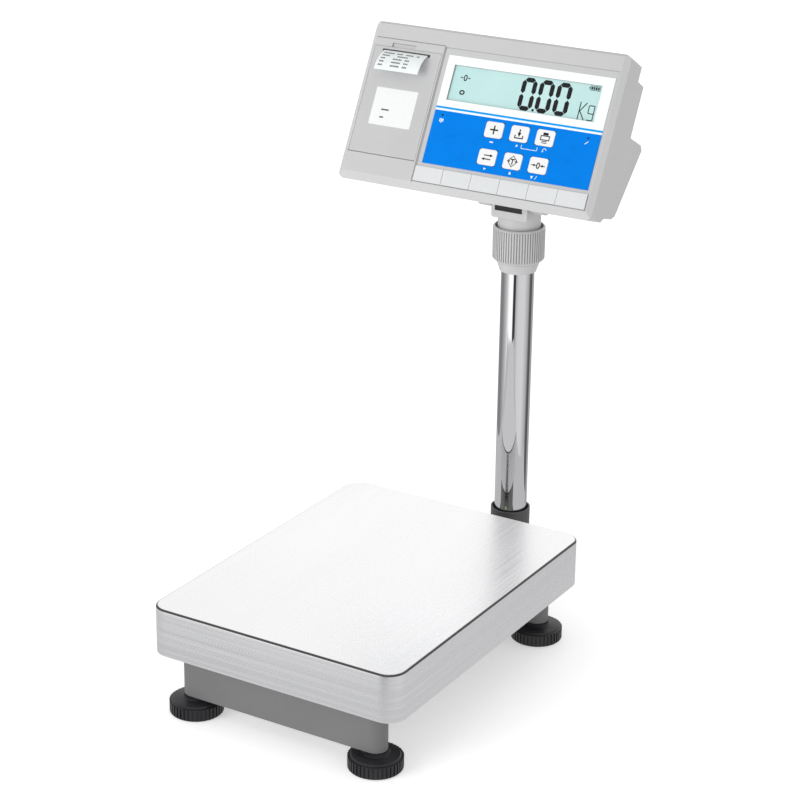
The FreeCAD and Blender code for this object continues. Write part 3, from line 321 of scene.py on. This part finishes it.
def tinted_vial():
    """The level's green liquid, under clear plastic."""
    finish = Finish("vial_liquid", (0.5, 0.8, 0.12), 0.08, Coat_Weight=0.6, Alpha=0.8)
    deep, pale = (0.42, 0.75, 0.08), (0.58, 0.88, 0.2)
    swirl = finish.noise(200, 2.0)
    finish.drive("Base Color", finish.mix(finish.spread(swirl, 0, 1), deep, pale))
    return finish


def paper(name="thermal_paper", colour=(0.88, 0.92, 0.92)):
    """Uncoated paper: soft fibres in the colour and the relief."""
    finish = Finish(name, colour, 0.75)
    fibre = finish.noise(500, 4.0, (1, 2.5, 1))
    finish.drive("Base Color", finish.mix(finish.spread(fibre, 0, 1), scaled(colour, 0.95), colour))
    return finish.bump(fibre, 0.3, 0.03 * MM)


def circuit_board():
    """Solder mask over copper tracks that show as faint squares and lines."""
    mask, mask_over_copper = (0.02, 0.2, 0.07), (0.1, 0.36, 0.13)
    finish = Finish("solder_mask", mask, 0.35, Coat_Weight=0.4)
    bricks = finish.node("ShaderNodeTexBrick", [("Vector", finish.place()), ("Scale", 160.0)])
    tracks = bricks.outputs["Fac"]
    finish.drive("Base Color", finish.mix(finish.maths("MULTIPLY", tracks, 0.6), mask,
                                          mask_over_copper))
    return finish.bump(tracks, 0.4, 0.05 * MM)


def ink(name, colour):
    """Printed ink, slightly uneven where it lies thin."""
    finish = Finish(name, colour, 0.4, Specular_IOR_Level=0.1)
    thin = finish.noise(900, 2.0)
    finish.drive("Base Color", finish.mix(finish.spread(thin, 0, 1), colour, lifted(colour, 0.012)))
    return finish


SEAM_REACH = 1.6 * MM
FINISHES = {
    "grey_paint": painted("grey_powder_coat", grey(0.17)),
    "dark_casting": painted("socket_paint", grey(0.068), 0.45),
    "zinc_steel": metal("zinc_plate", (0.62, 0.63, 0.64), 0.32),
    "bare_aluminium": metal("milled_aluminium", (0.8, 0.8, 0.81), 0.3, (6, 0.4, 6), 120),
    "cast_aluminium": metal("cast_aluminium", (0.6, 0.6, 0.61), 0.5, scale=220),
    "black_rubber": rubber("black_rubber", (0.012, 0.012, 0.013)),
    # The foot, head, housing and door finishes carry painted shade in their grooves and seams.
    "foot_rubber": with_painted_groove_shade(rubber("foot_rubber", (0.008, 0.008, 0.011), 0.36), 0.2),
    "stainless_pan": brushed_pan(),
    "black_plastic": moulded("black_plastic", (0.015, 0.015, 0.016), 0.4),
    "vial_green": tinted_vial(),
    "black_steel": metal("black_oxide", (0.06, 0.06, 0.065), 0.38),
    "chrome_tube": chrome(),
    "grey_plastic": with_painted_groove_shade(moulded("head_plastic", grey(0.56), 0.36), 0.42),
    "housing_plastic": with_painted_groove_shade(
        moulded("housing_plastic", grey(0.56), 0.44, shade=0.97), 0.5, SEAM_REACH),
    "door_plastic": with_painted_groove_shade(
        moulded("door_plastic", grey(0.54), 0.46, shade=0.96), 0.5, SEAM_REACH),
    "strip_plastic": moulded("strip_plastic", (0.70, 0.715, 0.72), 0.3, depth=0.02 * MM,
                             shade=0.97),
    "overlay_print": printed_overlay(),
    "display_glass": window_glass(),
    "display_module": reflector(),
    "circuit_board": circuit_board(),
    "battery_wrap": moulded("battery_wrap", (0.03, 0.1, 0.42), 0.3),
    "plated_metal": metal("tin_plate", (0.7, 0.7, 0.68), 0.28),
    "key_plastic": moulded("key_plastic", (0.86, 0.86, 0.86), 0.3, depth=0.02 * MM, shade=0.98),
    "paper": paper(),
}
BLACK_INK = ink("black_ink", (0.012, 0.012, 0.014))
GREY_INK = ink("grey_ink", (0.12, 0.12, 0.13))
WHITE_INK = ink("white_ink", (0.86, 0.90, 0.93))
LABEL_PAPER = paper("label_paper", (0.86, 0.87, 0.87))
PIN_METAL = metal("pin_plate", (0.85, 0.66, 0.3), 0.25)

for subpart in frame["record"]["subparts"]:
    node = frame["nodes"][subpart["node"]]
    node.data.materials.clear()
    node.data.materials.append(FINISHES[subpart["material_slot"]].material)


# ---------------------------------------------------------------- flat outlines, in millimetres

def rectangle(left, low, right, high):
    """The four corners, anticlockwise."""
    return [(left, low), (right, low), (right, high), (left, high)]


def rounded(left, low, right, high, radius):
    """A rectangle with rounded corners."""
    steps = 5
    corners = [(right - radius, low + radius, -90), (right - radius, high - radius, 0),
               (left + radius, high - radius, 90), (left + radius, low + radius, 180)]
    outline = []
    for x, v, start in corners:
        for step in range(steps + 1):
            angle = math.radians(start + 90 * step / steps)
            outline.append((x + radius * math.cos(angle), v + radius * math.sin(angle)))
    return outline


def disc(x, v, radius, count=20):
    """A circle with that many corners."""
    angles = [math.tau * step / count for step in range(count)]
    return [(x + radius * math.cos(a), v + radius * math.sin(a)) for a in angles]


def stroke(x0, v0, x1, v1, width):
    """A straight line of some width."""
    along = Vector((x1 - x0, v1 - v0)).normalized() * width / 2
    side = Vector((-along.y, along.x))
    ends = [Vector((x0, v0)) - along, Vector((x1, v1)) + along]
    return [tuple(ends[0] - side), tuple(ends[1] - side), tuple(ends[1] + side),
            tuple(ends[0] + side)]


def path(points, width, closed=False):
    """Strokes from each point to the next."""
    following = points[1:] + points[:1] if closed else points[1:]
    return [stroke(*start, *end, width) for start, end in zip(points, following)]


def cross(x, v, reach, width):
    """Two strokes of that reach from the middle."""
    return [stroke(x - reach, v, x + reach, v, width), stroke(x, v - reach, x, v + reach, width)]


def ring(x, v, across, up, width, count=24):
    """An oval line, as quads."""
    quads = []
    for step in range(count):
        angles = [math.tau * step / count, math.tau * (step + 1) / count]
        outer = [(x + across * math.cos(a), v + up * math.sin(a)) for a in angles]
        inner = [(x + (across - width) * math.cos(a), v + (up - width) * math.sin(a))
                 for a in reversed(angles)]
        quads.append(outer + inner)
    return quads


def arrow(x, v, size, direction):
    """A solid triangle that points along the direction, in degrees."""
    points = []
    for turn in (0, 130, 230):
        angle = math.radians(direction + turn)
        points.append((x + size * math.cos(angle), v + size * math.sin(angle)))
    return points


def moved(outlines, x, v):
    """The outlines again, shifted to the right by x and up by v."""
    return [[(a + x, b + v) for a, b in outline] for outline in outlines]


# ---------------------------------------------------------------- pieces

def piece(name, body, finish, vertices, faces):
    """A visible piece that rides on one body."""
    mesh = bpy.data.meshes.new(name)
    mesh.from_pydata([tuple(vertex) for vertex in vertices], [], faces)
    mesh.update()
    mesh.materials.append(finish.material)
    item = bpy.data.objects.new(name, mesh)
    bpy.context.scene.collection.objects.link(item)
    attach(item, body)


def plates(name, body, finish, outlines, height, thickness=0.04, point=on_face):
    """Thin closed plates with those outlines; their backs lie at the height above the face."""
    vertices = []
    faces = []
    for outline in outlines:
        first = len(vertices)
        count = len(outline)
        for level in (height, height + thickness):
            vertices += [point(x, v, level) for x, v in outline]
        faces.append([first + step for step in reversed(range(count))])
        faces.append([first + count + step for step in range(count)])
        for step in range(count):
            following = (step + 1) % count
            faces.append([first + step, first + following, first + count + following,
                          first + count + step])
    piece(name, body, finish, vertices, faces)


# ---------------------------------------------------------------- display

DISPLAY_TOP = -2.92


def segment(x0, v0, x1, v1, width):
    """A bar with pointed ends, as a liquid-crystal segment is drawn."""
    gap_share = 0.12
    along = Vector((x1 - x0, v1 - v0)).normalized() * width / 2
    side = Vector((-along.y, along.x))
    start, end = Vector((x0, v0)) + along * gap_share, Vector((x1, v1)) - along * gap_share
    return [tuple(start), tuple(start + along - side), tuple(end - along - side), tuple(end),
            tuple(end - along + side), tuple(start + along + side)]


def zero_digit(left, low, width, height, thick):
    """The figure 0 in six segments."""
    x0, x1 = left + thick / 2, left + width - thick / 2
    v0, v2 = low + thick / 2, low + height - thick / 2
    v1 = low + height / 2
    bars = [(x0, v0, x1, v0), (x0, v2, x1, v2), (x0, v0, x0, v1), (x0, v1, x0, v2),
            (x1, v0, x1, v1), (x1, v1, x1, v2)]
    return [segment(*bar, thick) for bar in bars]


def make_display_sheet():
    """The reflector's front sheet, which hides the module's own front."""
    outline = rectangle(-94.9, 65.1, 90.9, 106.2)
    back, thickness = -2.98, 0.05
    plates("display_sheet", "indicator", FINISHES["display_module"], [outline],
           back, thickness)


def print_on_display(name, outlines):
    """Black segments that lie on the reflector's front sheet."""
    plates(name, "indicator", BLACK_INK, outlines, DISPLAY_TOP)


def make_reading():
    """Three figures, with a decimal point after the first."""
    left, low, pitch = -7.0, 66.4, 21.85
    width, height, thick = 18.6, 37.8, 5.3
    outlines = []
    for number in range(3):
        outlines += zero_digit(left + pitch * number, low, width, height, thick)
    outlines.append(rectangle(12.2, 67.0, 14.8, 69.8))
    print_on_display("reading", outlines)


def make_unit_sign():
    """The kilogram sign, in thin strokes."""
    wide, thin = 1.2, 1.1
    strokes = [(69.2, 66.4, 69.2, 85.4, wide), (70.3, 76.0, 76.6, 85.2, wide),
               (70.3, 75.2, 76.6, 66.4, thin), (80.2, 74.6, 80.2, 82.4, thin),
               (81.0, 83.0, 86.2, 83.0, thin), (81.0, 74.0, 86.2, 74.0, thin),
               (87.0, 67.4, 87.0, 82.4, thin), (81.0, 66.6, 86.2, 66.6, thin)]
    print_on_display("unit_sign", [stroke(*line) for line in strokes])


def make_display_signs():
    """The battery at the right, and at the left the signs for zero and for a steady reading."""
    first_bar, bar_pitch, bar_width = 77.2, 2.6, 2.0
    lefts = [first_bar + bar_pitch * bar for bar in range(4)]
    charge = [rectangle(left, 101.0, left + bar_width, 104.2) for left in lefts]
    case = path(rectangle(76.4, 100.2, 88.0, 105.0), 0.5, closed=True)
    case.append(rectangle(74.6, 101.6, 75.8, 103.6))

    middle, zero_row, steady_row = -78.7, 93.3, 76.3
    near_end, far_end, dash_width = 3.9, 5.5, 1.2
    zero_mark = ring(middle, zero_row, 2.4, 3.8, 1.3)
    dashes = [stroke(middle + side * near_end, zero_row, middle + side * far_end, zero_row, dash_width)
              for side in (-1, 1)]
    steady_mark = ring(middle, steady_row, 3.5, 2.8, 1.6)
    print_on_display("display_signs", charge + case + zero_mark + dashes + steady_mark)


# ---------------------------------------------------------------- membrane and keys

FILM_TOP = -FILM_DEPTH
KEY_TOP = 0.1
# The middle of the lower middle key, and the distances between the keys' middles.
KEY_COLUMN, KEY_ROW, KEY_PITCH_X, KEY_PITCH_Y = 6.6, 7.6, 32.0, 31.6


def key_symbols():
    """Each key's column and row, counted from the lower middle key, and its sign."""
    plus = cross(0, 0, 4.2, 1.7)
    tray = [(-4.8, -2.2), (-4.8, -4.9), (4.8, -4.9), (4.8, -2.2)]
    recall = [stroke(0, 4.6, 0, 0.6, 1.6), arrow(0, -0.6, 3.0, -90)] + path(tray, 1.3)
    printer = path(rectangle(-5.2, -2.4, 5.2, 2.2), 1.1, closed=True)
    printer += [rectangle(-3.2, 3.0, 3.2, 6.0), stroke(-2.8, -4.0, 2.8, -4.0, 0.9),
                stroke(-2.8, -5.8, 2.8, -5.8, 0.9)]
    swap = [stroke(-4.0, 2.2, 3.4, 2.2, 1.2), arrow(4.6, 2.2, 2.3, 0),
            stroke(-3.4, -2.2, 4.0, -2.2, 1.2), arrow(-4.6, -2.2, 2.3, 180)]
    diamond = path([(-6.2, 0), (0, 6.2), (6.2, 0), (0, -6.2)], 0.8, closed=True)
    diamond += [stroke(-2.2, 2.2, 2.2, 2.2, 1.3), stroke(0, 1.8, 0, -3.0, 1.3),
                arrow(-4.0, 0, 1.7, 0), arrow(4.0, 0, 1.7, 180)]
    zero = ring(0, 0, 2.3, 3.7, 1.3)
    zero += [arrow(-4.4, 0, 2.1, 0), arrow(4.4, 0, 2.1, 180), stroke(-8.2, 0, -5.6, 0, 1.0),
             stroke(5.6, 0, 8.2, 0, 1.0)]
    return {"key_memory_add": (-1, 1, plus), "key_memory_recall": (0, 1, recall),
            "key_mode": (1, 1, printer), "key_units": (-1, 0, swap), "key_tare": (0, 0, diamond),
            "key_zero": (1, 0, zero)}


def make_key_prints():
    """The sign on each key, which rides on the key."""
    for name, (column, row, symbols) in key_symbols().items():
        x = KEY_COLUMN + column * KEY_PITCH_X
        v = KEY_ROW + row * KEY_PITCH_Y
        plates(name + "_sign", name, BLACK_INK, moved(symbols, x, v), KEY_TOP)


def make_status_lamps():
    """The dark windows of the two lamps."""
    lamps = [disc(-94.1, 47.0, 1.2), disc(89.4, 46.5, 1.2)]
    plates("status_lamps", "indicator", BLACK_INK, lamps, FILM_TOP)


def make_overlay_signs():
    """The small white signs below the keys and the lamps."""
    bracket = path([(12.4, 27.4), (12.4, 23.6), (32.0, 23.6), (32.0, 27.4)], 0.6)
    hints = [arrow(-25.4, -5.4, 1.9, 0), arrow(6.6, -5.8, 2.1, 90), arrow(34.0, -6.2, 2.1, -90),
             stroke(38.2, -8.0, 40.0, -4.4, 0.6), arrow(6.4, 25.6, 1.8, -135),
             rectangle(-27.6, 24.6, -23.2, 26.0)]
    quads, kept_quads = 24, 16
    turn_back = ring(41.2, 25.4, 2.4, 2.4, 0.7, quads)[:kept_quads]
    turn_back.append(arrow(39.0, 24.2, 1.4, -120))
    first_prong, prong_pitch, prong_width = -96.6, 1.8, 1.2
    plug = []
    for number, low in enumerate((39.4, 38.2, 39.4)):
        left = first_prong + prong_pitch * number
        plug.append(rectangle(left, low, left + prong_width, 43.0))
    flash = [stroke(87.2, 39.8, 89.0, 41.4, 0.8), stroke(88.4, 40.6, 90.4, 42.6, 0.8)]
    plates("overlay_signs", "indicator", WHITE_INK,
           bracket + hints + turn_back + plug + flash, FILM_TOP)


# ---------------------------------------------------------------- printer

def make_label():
    """A blank rating label on the printer's cover, with two ruled marks."""
    body, height, thickness, mark_thickness = "printer_door", 0.0, 0.12, 0.02
    outline = rounded(-186.4, 24.0, -131.6, 68.0, 1.2)
    plates("door_label", body, LABEL_PAPER, [outline], height, thickness)
    marks = [rectangle(-174.0, 41.6, -164.0, 43.4), rectangle(-174.0, 32.6, -169.0, 34.4)]
    plates("label_marks", body, GREY_INK, marks, height + thickness, mark_thickness)


def paper_arc():
    """Centre, radius and angles of the slip's curl, seen from the side as (up, out)."""
    mouth, drop, reach, bulge = Vector((111.2, 0)), 26.0, 13.0, 3.4
    chord = Vector((-drop, reach))
    radius = (chord.length_squared / 4 + bulge ** 2) / (2 * bulge)
    outward = Vector((reach, drop)).normalized()
    centre = mouth + chord / 2 - outward * (radius - bulge)
    start, end = mouth - centre, mouth + chord - centre
    return centre, radius, math.atan2(start.y, start.x), math.atan2(end.y, end.x)


CURL_CENTRE, CURL_RADIUS, CURL_START, CURL_END = paper_arc()


def on_slip(x, along, height):
    """A point on the slip, from millimetres along its curl and off its outer side."""
    angle = CURL_START + along / CURL_RADIUS * math.copysign(1, CURL_END - CURL_START)
    v = CURL_CENTRE.x + (CURL_RADIUS + height) * math.cos(angle)
    out = CURL_CENTRE.y + (CURL_RADIUS + height) * math.sin(angle)
    return on_face(x, v, out)


def make_slip_print():
    """Rows of short printed dashes, as a receipt looks from a distance."""
    dash, space = 1.5, 0.5
    first_row, row_pitch, row_height = 5.0, 4.6, 1.9
    amounts = [(-186, -180), (-170, -158), (-154, -148)]
    rows = [[(-186, -172), (-169, -160), (-157, -146), (-143, -138)], [(-186, -176), (-166, -152)],
            amounts, amounts, amounts]
    outlines = []
    for number, words in enumerate(rows):
        along = first_row + row_pitch * number
        for left, right in words:
            for step in range(int((right - left) / (dash + space))):
                start = left + step * (dash + space)
                outlines.append(rectangle(start, along, start + dash, along + row_height))
    height, thickness = 0.24, 0.03
    plates("slip_print", "printer_door", GREY_INK, outlines, height, thickness, on_slip)


# ---------------------------------------------------------------- back and base details

def make_screw_recess_shade():
    """A black cross on the head of each housing screw: painted shade in place of its cross recess."""
    screws = [(-106, 115), (104, 115), (-193, -17), (104, -17)]
    reach, width, height = 1.2, 0.7, -48.26
    recess_shade_crosses = []
    for x, v in screws:
        recess_shade_crosses += cross(x, v, reach, width)
    plates("screw_recess_shade", "indicator", BLACK_INK, recess_shade_crosses, height)


def make_contacts(name, outlines, back, length):
    """Plated pins inside a socket."""
    plates(name, "indicator", PIN_METAL, outlines, back, length)


def make_cell_port_pins():
    """Five pins in a circle."""
    x, v, circle, pin_radius, corners, pins = -62, 96, 3.0, 0.5, 10, 5
    angles = [math.tau * step / pins for step in range(pins)]
    outlines = [disc(x + circle * math.cos(a), v + circle * math.sin(a), pin_radius, corners)
                for a in angles]
    make_contacts("cell_port_pins", outlines, -52.5, 4.5)


def make_serial_pins():
    """A row of five pins above a row of four."""
    middle, pitch, pin_radius, corners = -14, 2.7, 0.45, 10
    outlines = []
    for count, v in ((5, 97.4), (4, 94.6)):
        first = middle - pitch * (count - 1) / 2
        outlines += [disc(first + pitch * step, v, pin_radius, corners) for step in range(count)]
    make_contacts("serial_pins", outlines, -55.4, 2.4)


def make_jack_pin():
    """The power inlet's middle pin."""
    make_contacts("jack_pin", [disc(32, 96, 0.9, 14)], -54.0, 8.0)


def make_switch_sign():
    """The circle that marks the rocker's off side."""
    height, thickness = -55.86, 0.04
    plates("switch_off_sign", "power_rocker", WHITE_INK,
           ring(70, 91.5, 1.6, 1.6, 0.5), height, thickness)


def make_level_marks():
    """The level's target circle and its bubble."""
    low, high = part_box("level_vial")
    middle = (low + high) / 2

    def on_vial(x, y, height):
        """A point from millimetres right, back and up from the middle of the vial's top."""
        return Vector((middle.x + x * MM, middle.y + y * MM, high.z + height * MM))

    circle, circle_height, circle_thickness = ring(0, 0, 2.9, 2.9, 0.4), 0.01, 0.04
    bubble, bubble_height, bubble_thickness = disc(0.5, 0.3, 1.9), 0.0, 0.05
    plates("level_circle", "base", BLACK_INK, circle, circle_height,
           circle_thickness, on_vial)
    plates("level_bubble", "base", WHITE_INK, [bubble], bubble_height,
           bubble_thickness, on_vial)


def make_load_cell_bar():
    """The load cell again, as a bar of its own between its two bolted ends, in place of the imported
    part, which is hidden.
    """
    node = frame["nodes"]["load_cell"]
    bar = bpy.data.objects.new("load_cell_bar", node.data.copy())
    bar.matrix_world = node.matrix_world.copy()
    bpy.context.scene.collection.objects.link(bar)
    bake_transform(bar)
    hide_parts("load_cell")


make_display_sheet()
make_reading()
make_unit_sign()
make_display_signs()
make_key_prints()
make_status_lamps()
make_overlay_signs()
make_label()
make_slip_print()
make_screw_recess_shade()
make_cell_port_pins()
make_serial_pins()
make_jack_pin()
make_switch_sign()
make_level_marks()
make_load_cell_bar()


# ---------------------------------------------------------------- studio

FLOOR_SIDE = 60


def stage_piece(name, vertices, faces, finish, place=(0, 0, 0)):
    """A piece of the studio."""
    mesh = bpy.data.meshes.new(name)
    mesh.from_pydata(vertices, [], faces)
    mesh.materials.append(finish.material)
    item = bpy.data.objects.new(name, mesh)
    item.location = place
    bpy.context.scene.collection.objects.link(item)
    return item


def level_sheet(name, place, finish):
    """A square sheet of the floor's size about a place."""
    half = FLOOR_SIDE / 2
    corners = [(-half, -half, 0), (half, -half, 0), (half, half, 0), (-half, half, 0)]
    return stage_piece(name, corners, [(0, 1, 2, 3)], finish, place)


def hide_from(item, rays):
    """Leave the item out of those kinds of ray."""
    for ray in rays:
        setattr(item, f"visible_{ray}", False)


def area_light(name, place, target, size, power, mirrored=False):
    """A soft light; polished surfaces show it only when it is mirrored."""
    light = bpy.data.lights.new(name, "AREA")
    light.shape = "RECTANGLE"
    light.size, light.size_y = size
    light.energy = power
    item = bpy.data.objects.new(name, light)
    item.location = place
    item.rotation_euler = (Vector(target) - Vector(place)).to_track_quat("-Z", "Y").to_euler()
    item.visible_camera = False
    item.visible_glossy = mirrored
    bpy.context.scene.collection.objects.link(item)


def sector_finish():
    """Light and dark sectors round the pillar's foot.

    Each stop is a bearing, clockwise from +Y, and how bright the floor looks along it. The floor
    near the scale, which the pan's skirt reflects, is even."""
    stops = [(0, 0.34), (24, 0.3), (30, 0.06), (52, 0.08), (64, 0.34), (100, 0.62), (140, 0.6),
             (159, 0.4), (163, 0.02), (178, 0.02), (181, 1.0), (206, 1.0), (222, 0.56),
             (238, 0.38), (265, 0.18), (292, 0.2), (325, 0.3), (360, 0.34)]
    near_shade, strength = 0.45, 1.25
    near_middle, near_half = (-0.03, -0.295), (0.42, 0.495)
    finish = Finish("floor_sectors", BLACK, 1.0, Emission_Strength=strength)
    split = finish.node("ShaderNodeSeparateXYZ", [("Vector", finish.place())])
    angle = finish.maths("ARCTAN2", split.outputs["X"], split.outputs["Y"])
    turn = finish.maths("FRACT", finish.maths("ADD", finish.maths("DIVIDE", angle, math.tau), 1.0))
    ramp = finish.node("ShaderNodeValToRGB", [("Fac", turn)])
    elements = ramp.color_ramp.elements
    elements[0].position, elements[1].position = 0.0, 1.0
    elements[0].color = elements[1].color = (*grey(stops[0][1]), 1)
    for bearing, shade in stops[1:-1]:
        elements.new(bearing / 360).color = (*grey(shade), 1)
    near = 1.0
    for axis, middle, half in zip("XY", near_middle, near_half):
        offset = finish.maths("ABSOLUTE", finish.maths("SUBTRACT", split.outputs[axis], middle))
        near = finish.maths("MULTIPLY", near, finish.maths("LESS_THAN", offset, half))
    finish.drive("Emission Color", finish.mix(near, ramp.outputs["Color"], grey(near_shade)))
    return finish


def make_floor():
    """The white floor, and over it a sheet that only reflections in metal show."""
    low, high = cad_box
    floor_gap, sheet_gap = 0.5 * MM, 0.3 * MM
    white = Finish("floor", (0.9, 0.9, 0.9), 0.9, Emission_Color=WHITE_LIGHT, Emission_Strength=0.42)
    level_sheet("floor", ((low[0] + high[0]) / 2, (low[1] + high[1]) / 2, low[2] - floor_gap), white)
    tube_low, tube_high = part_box("pillar_tube")
    pillar_middle = (tube_low + tube_high) / 2
    sheet = level_sheet("floor_reflection", (pillar_middle.x, pillar_middle.y, low[2] - sheet_gap),
                        sector_finish())
    hide_from(sheet, ("camera", "diffuse", "shadow", "transmission", "volume_scatter"))


def make_wall():
    """A white wall round the floor's edge, which only the camera sees."""
    sides, radius, foot, height = 48, FLOOR_SIDE / 2 - 1, -0.1, 30
    vertices = []
    faces = []
    for side in range(sides):
        angle = math.tau * side / sides
        for level in (foot, height):
            vertices.append((radius * math.cos(angle), radius * math.sin(angle), level))
        following = (side + 1) % sides
        faces.append((2 * side, 2 * following, 2 * following + 1, 2 * side + 1))
    finish = Finish("wall_white", BLACK, 1.0, Emission_Color=WHITE_LIGHT, Emission_Strength=1.05)
    wall = stage_piece("wall", vertices, faces, finish)
    hide_from(wall, ("diffuse", "glossy", "shadow", "transmission", "volume_scatter"))


def make_world():
    """Even white light from all sides."""
    strength = 0.7
    world = bpy.data.worlds.new("studio")
    world.use_nodes = True
    background = world.node_tree.nodes["Background"]
    background.inputs["Color"].default_value = WHITE_LIGHT
    background.inputs["Strength"].default_value = strength
    bpy.context.scene.world = world
    bpy.context.scene.view_settings.view_transform = "Standard"


def make_lights():
    """Each light's place and size in metres, and its power in watts."""
    low, high = cad_box
    middle = (Vector(low) + Vector(high)) / 2
    area_light("overhead", (-0.5, -1.0, 2.6), middle, (1.8, 1.8), 2)
    area_light("front_left", (-1.2, -2.8, 1.1), middle, (1.6, 1.6), 36)
    area_light("backdrop", (-0.6, 3.2, 1.5), middle, (4.5, 2.4), 11, mirrored=True)


make_world()
make_floor()
make_lights()
make_wall()


# ---------------------------------------------------------------- camera

def make_camera():
    """The view from the front right, a little above, turned slightly about its own axis."""
    azimuth, elevation, roll = (math.radians(angle) for angle in (30.91, 20.98, 0.76))
    target = Vector((0.0607, -0.0900, 0.3235))
    distance = 2.390
    sensor_width, focal_length = 36, 103.95
    back = Vector((math.sin(azimuth) * math.cos(elevation),
                   -math.cos(azimuth) * math.cos(elevation), math.sin(elevation)))
    right = Vector((math.cos(azimuth), math.sin(azimuth), 0))
    above = back.cross(right)
    turned_right = right * math.cos(roll) + above * math.sin(roll)
    turned_above = above * math.cos(roll) - right * math.sin(roll)
    camera = bpy.data.objects.new("camera", bpy.data.cameras.new("camera"))
    camera.data.sensor_width = sensor_width
    camera.data.lens = focal_length
    turn = Matrix((turned_right, turned_above, back)).transposed().to_4x4()
    camera.matrix_world = Matrix.Translation(target + back * distance) @ turn
    bpy.context.scene.collection.objects.link(camera)
    bpy.context.scene.camera = camera


make_camera()
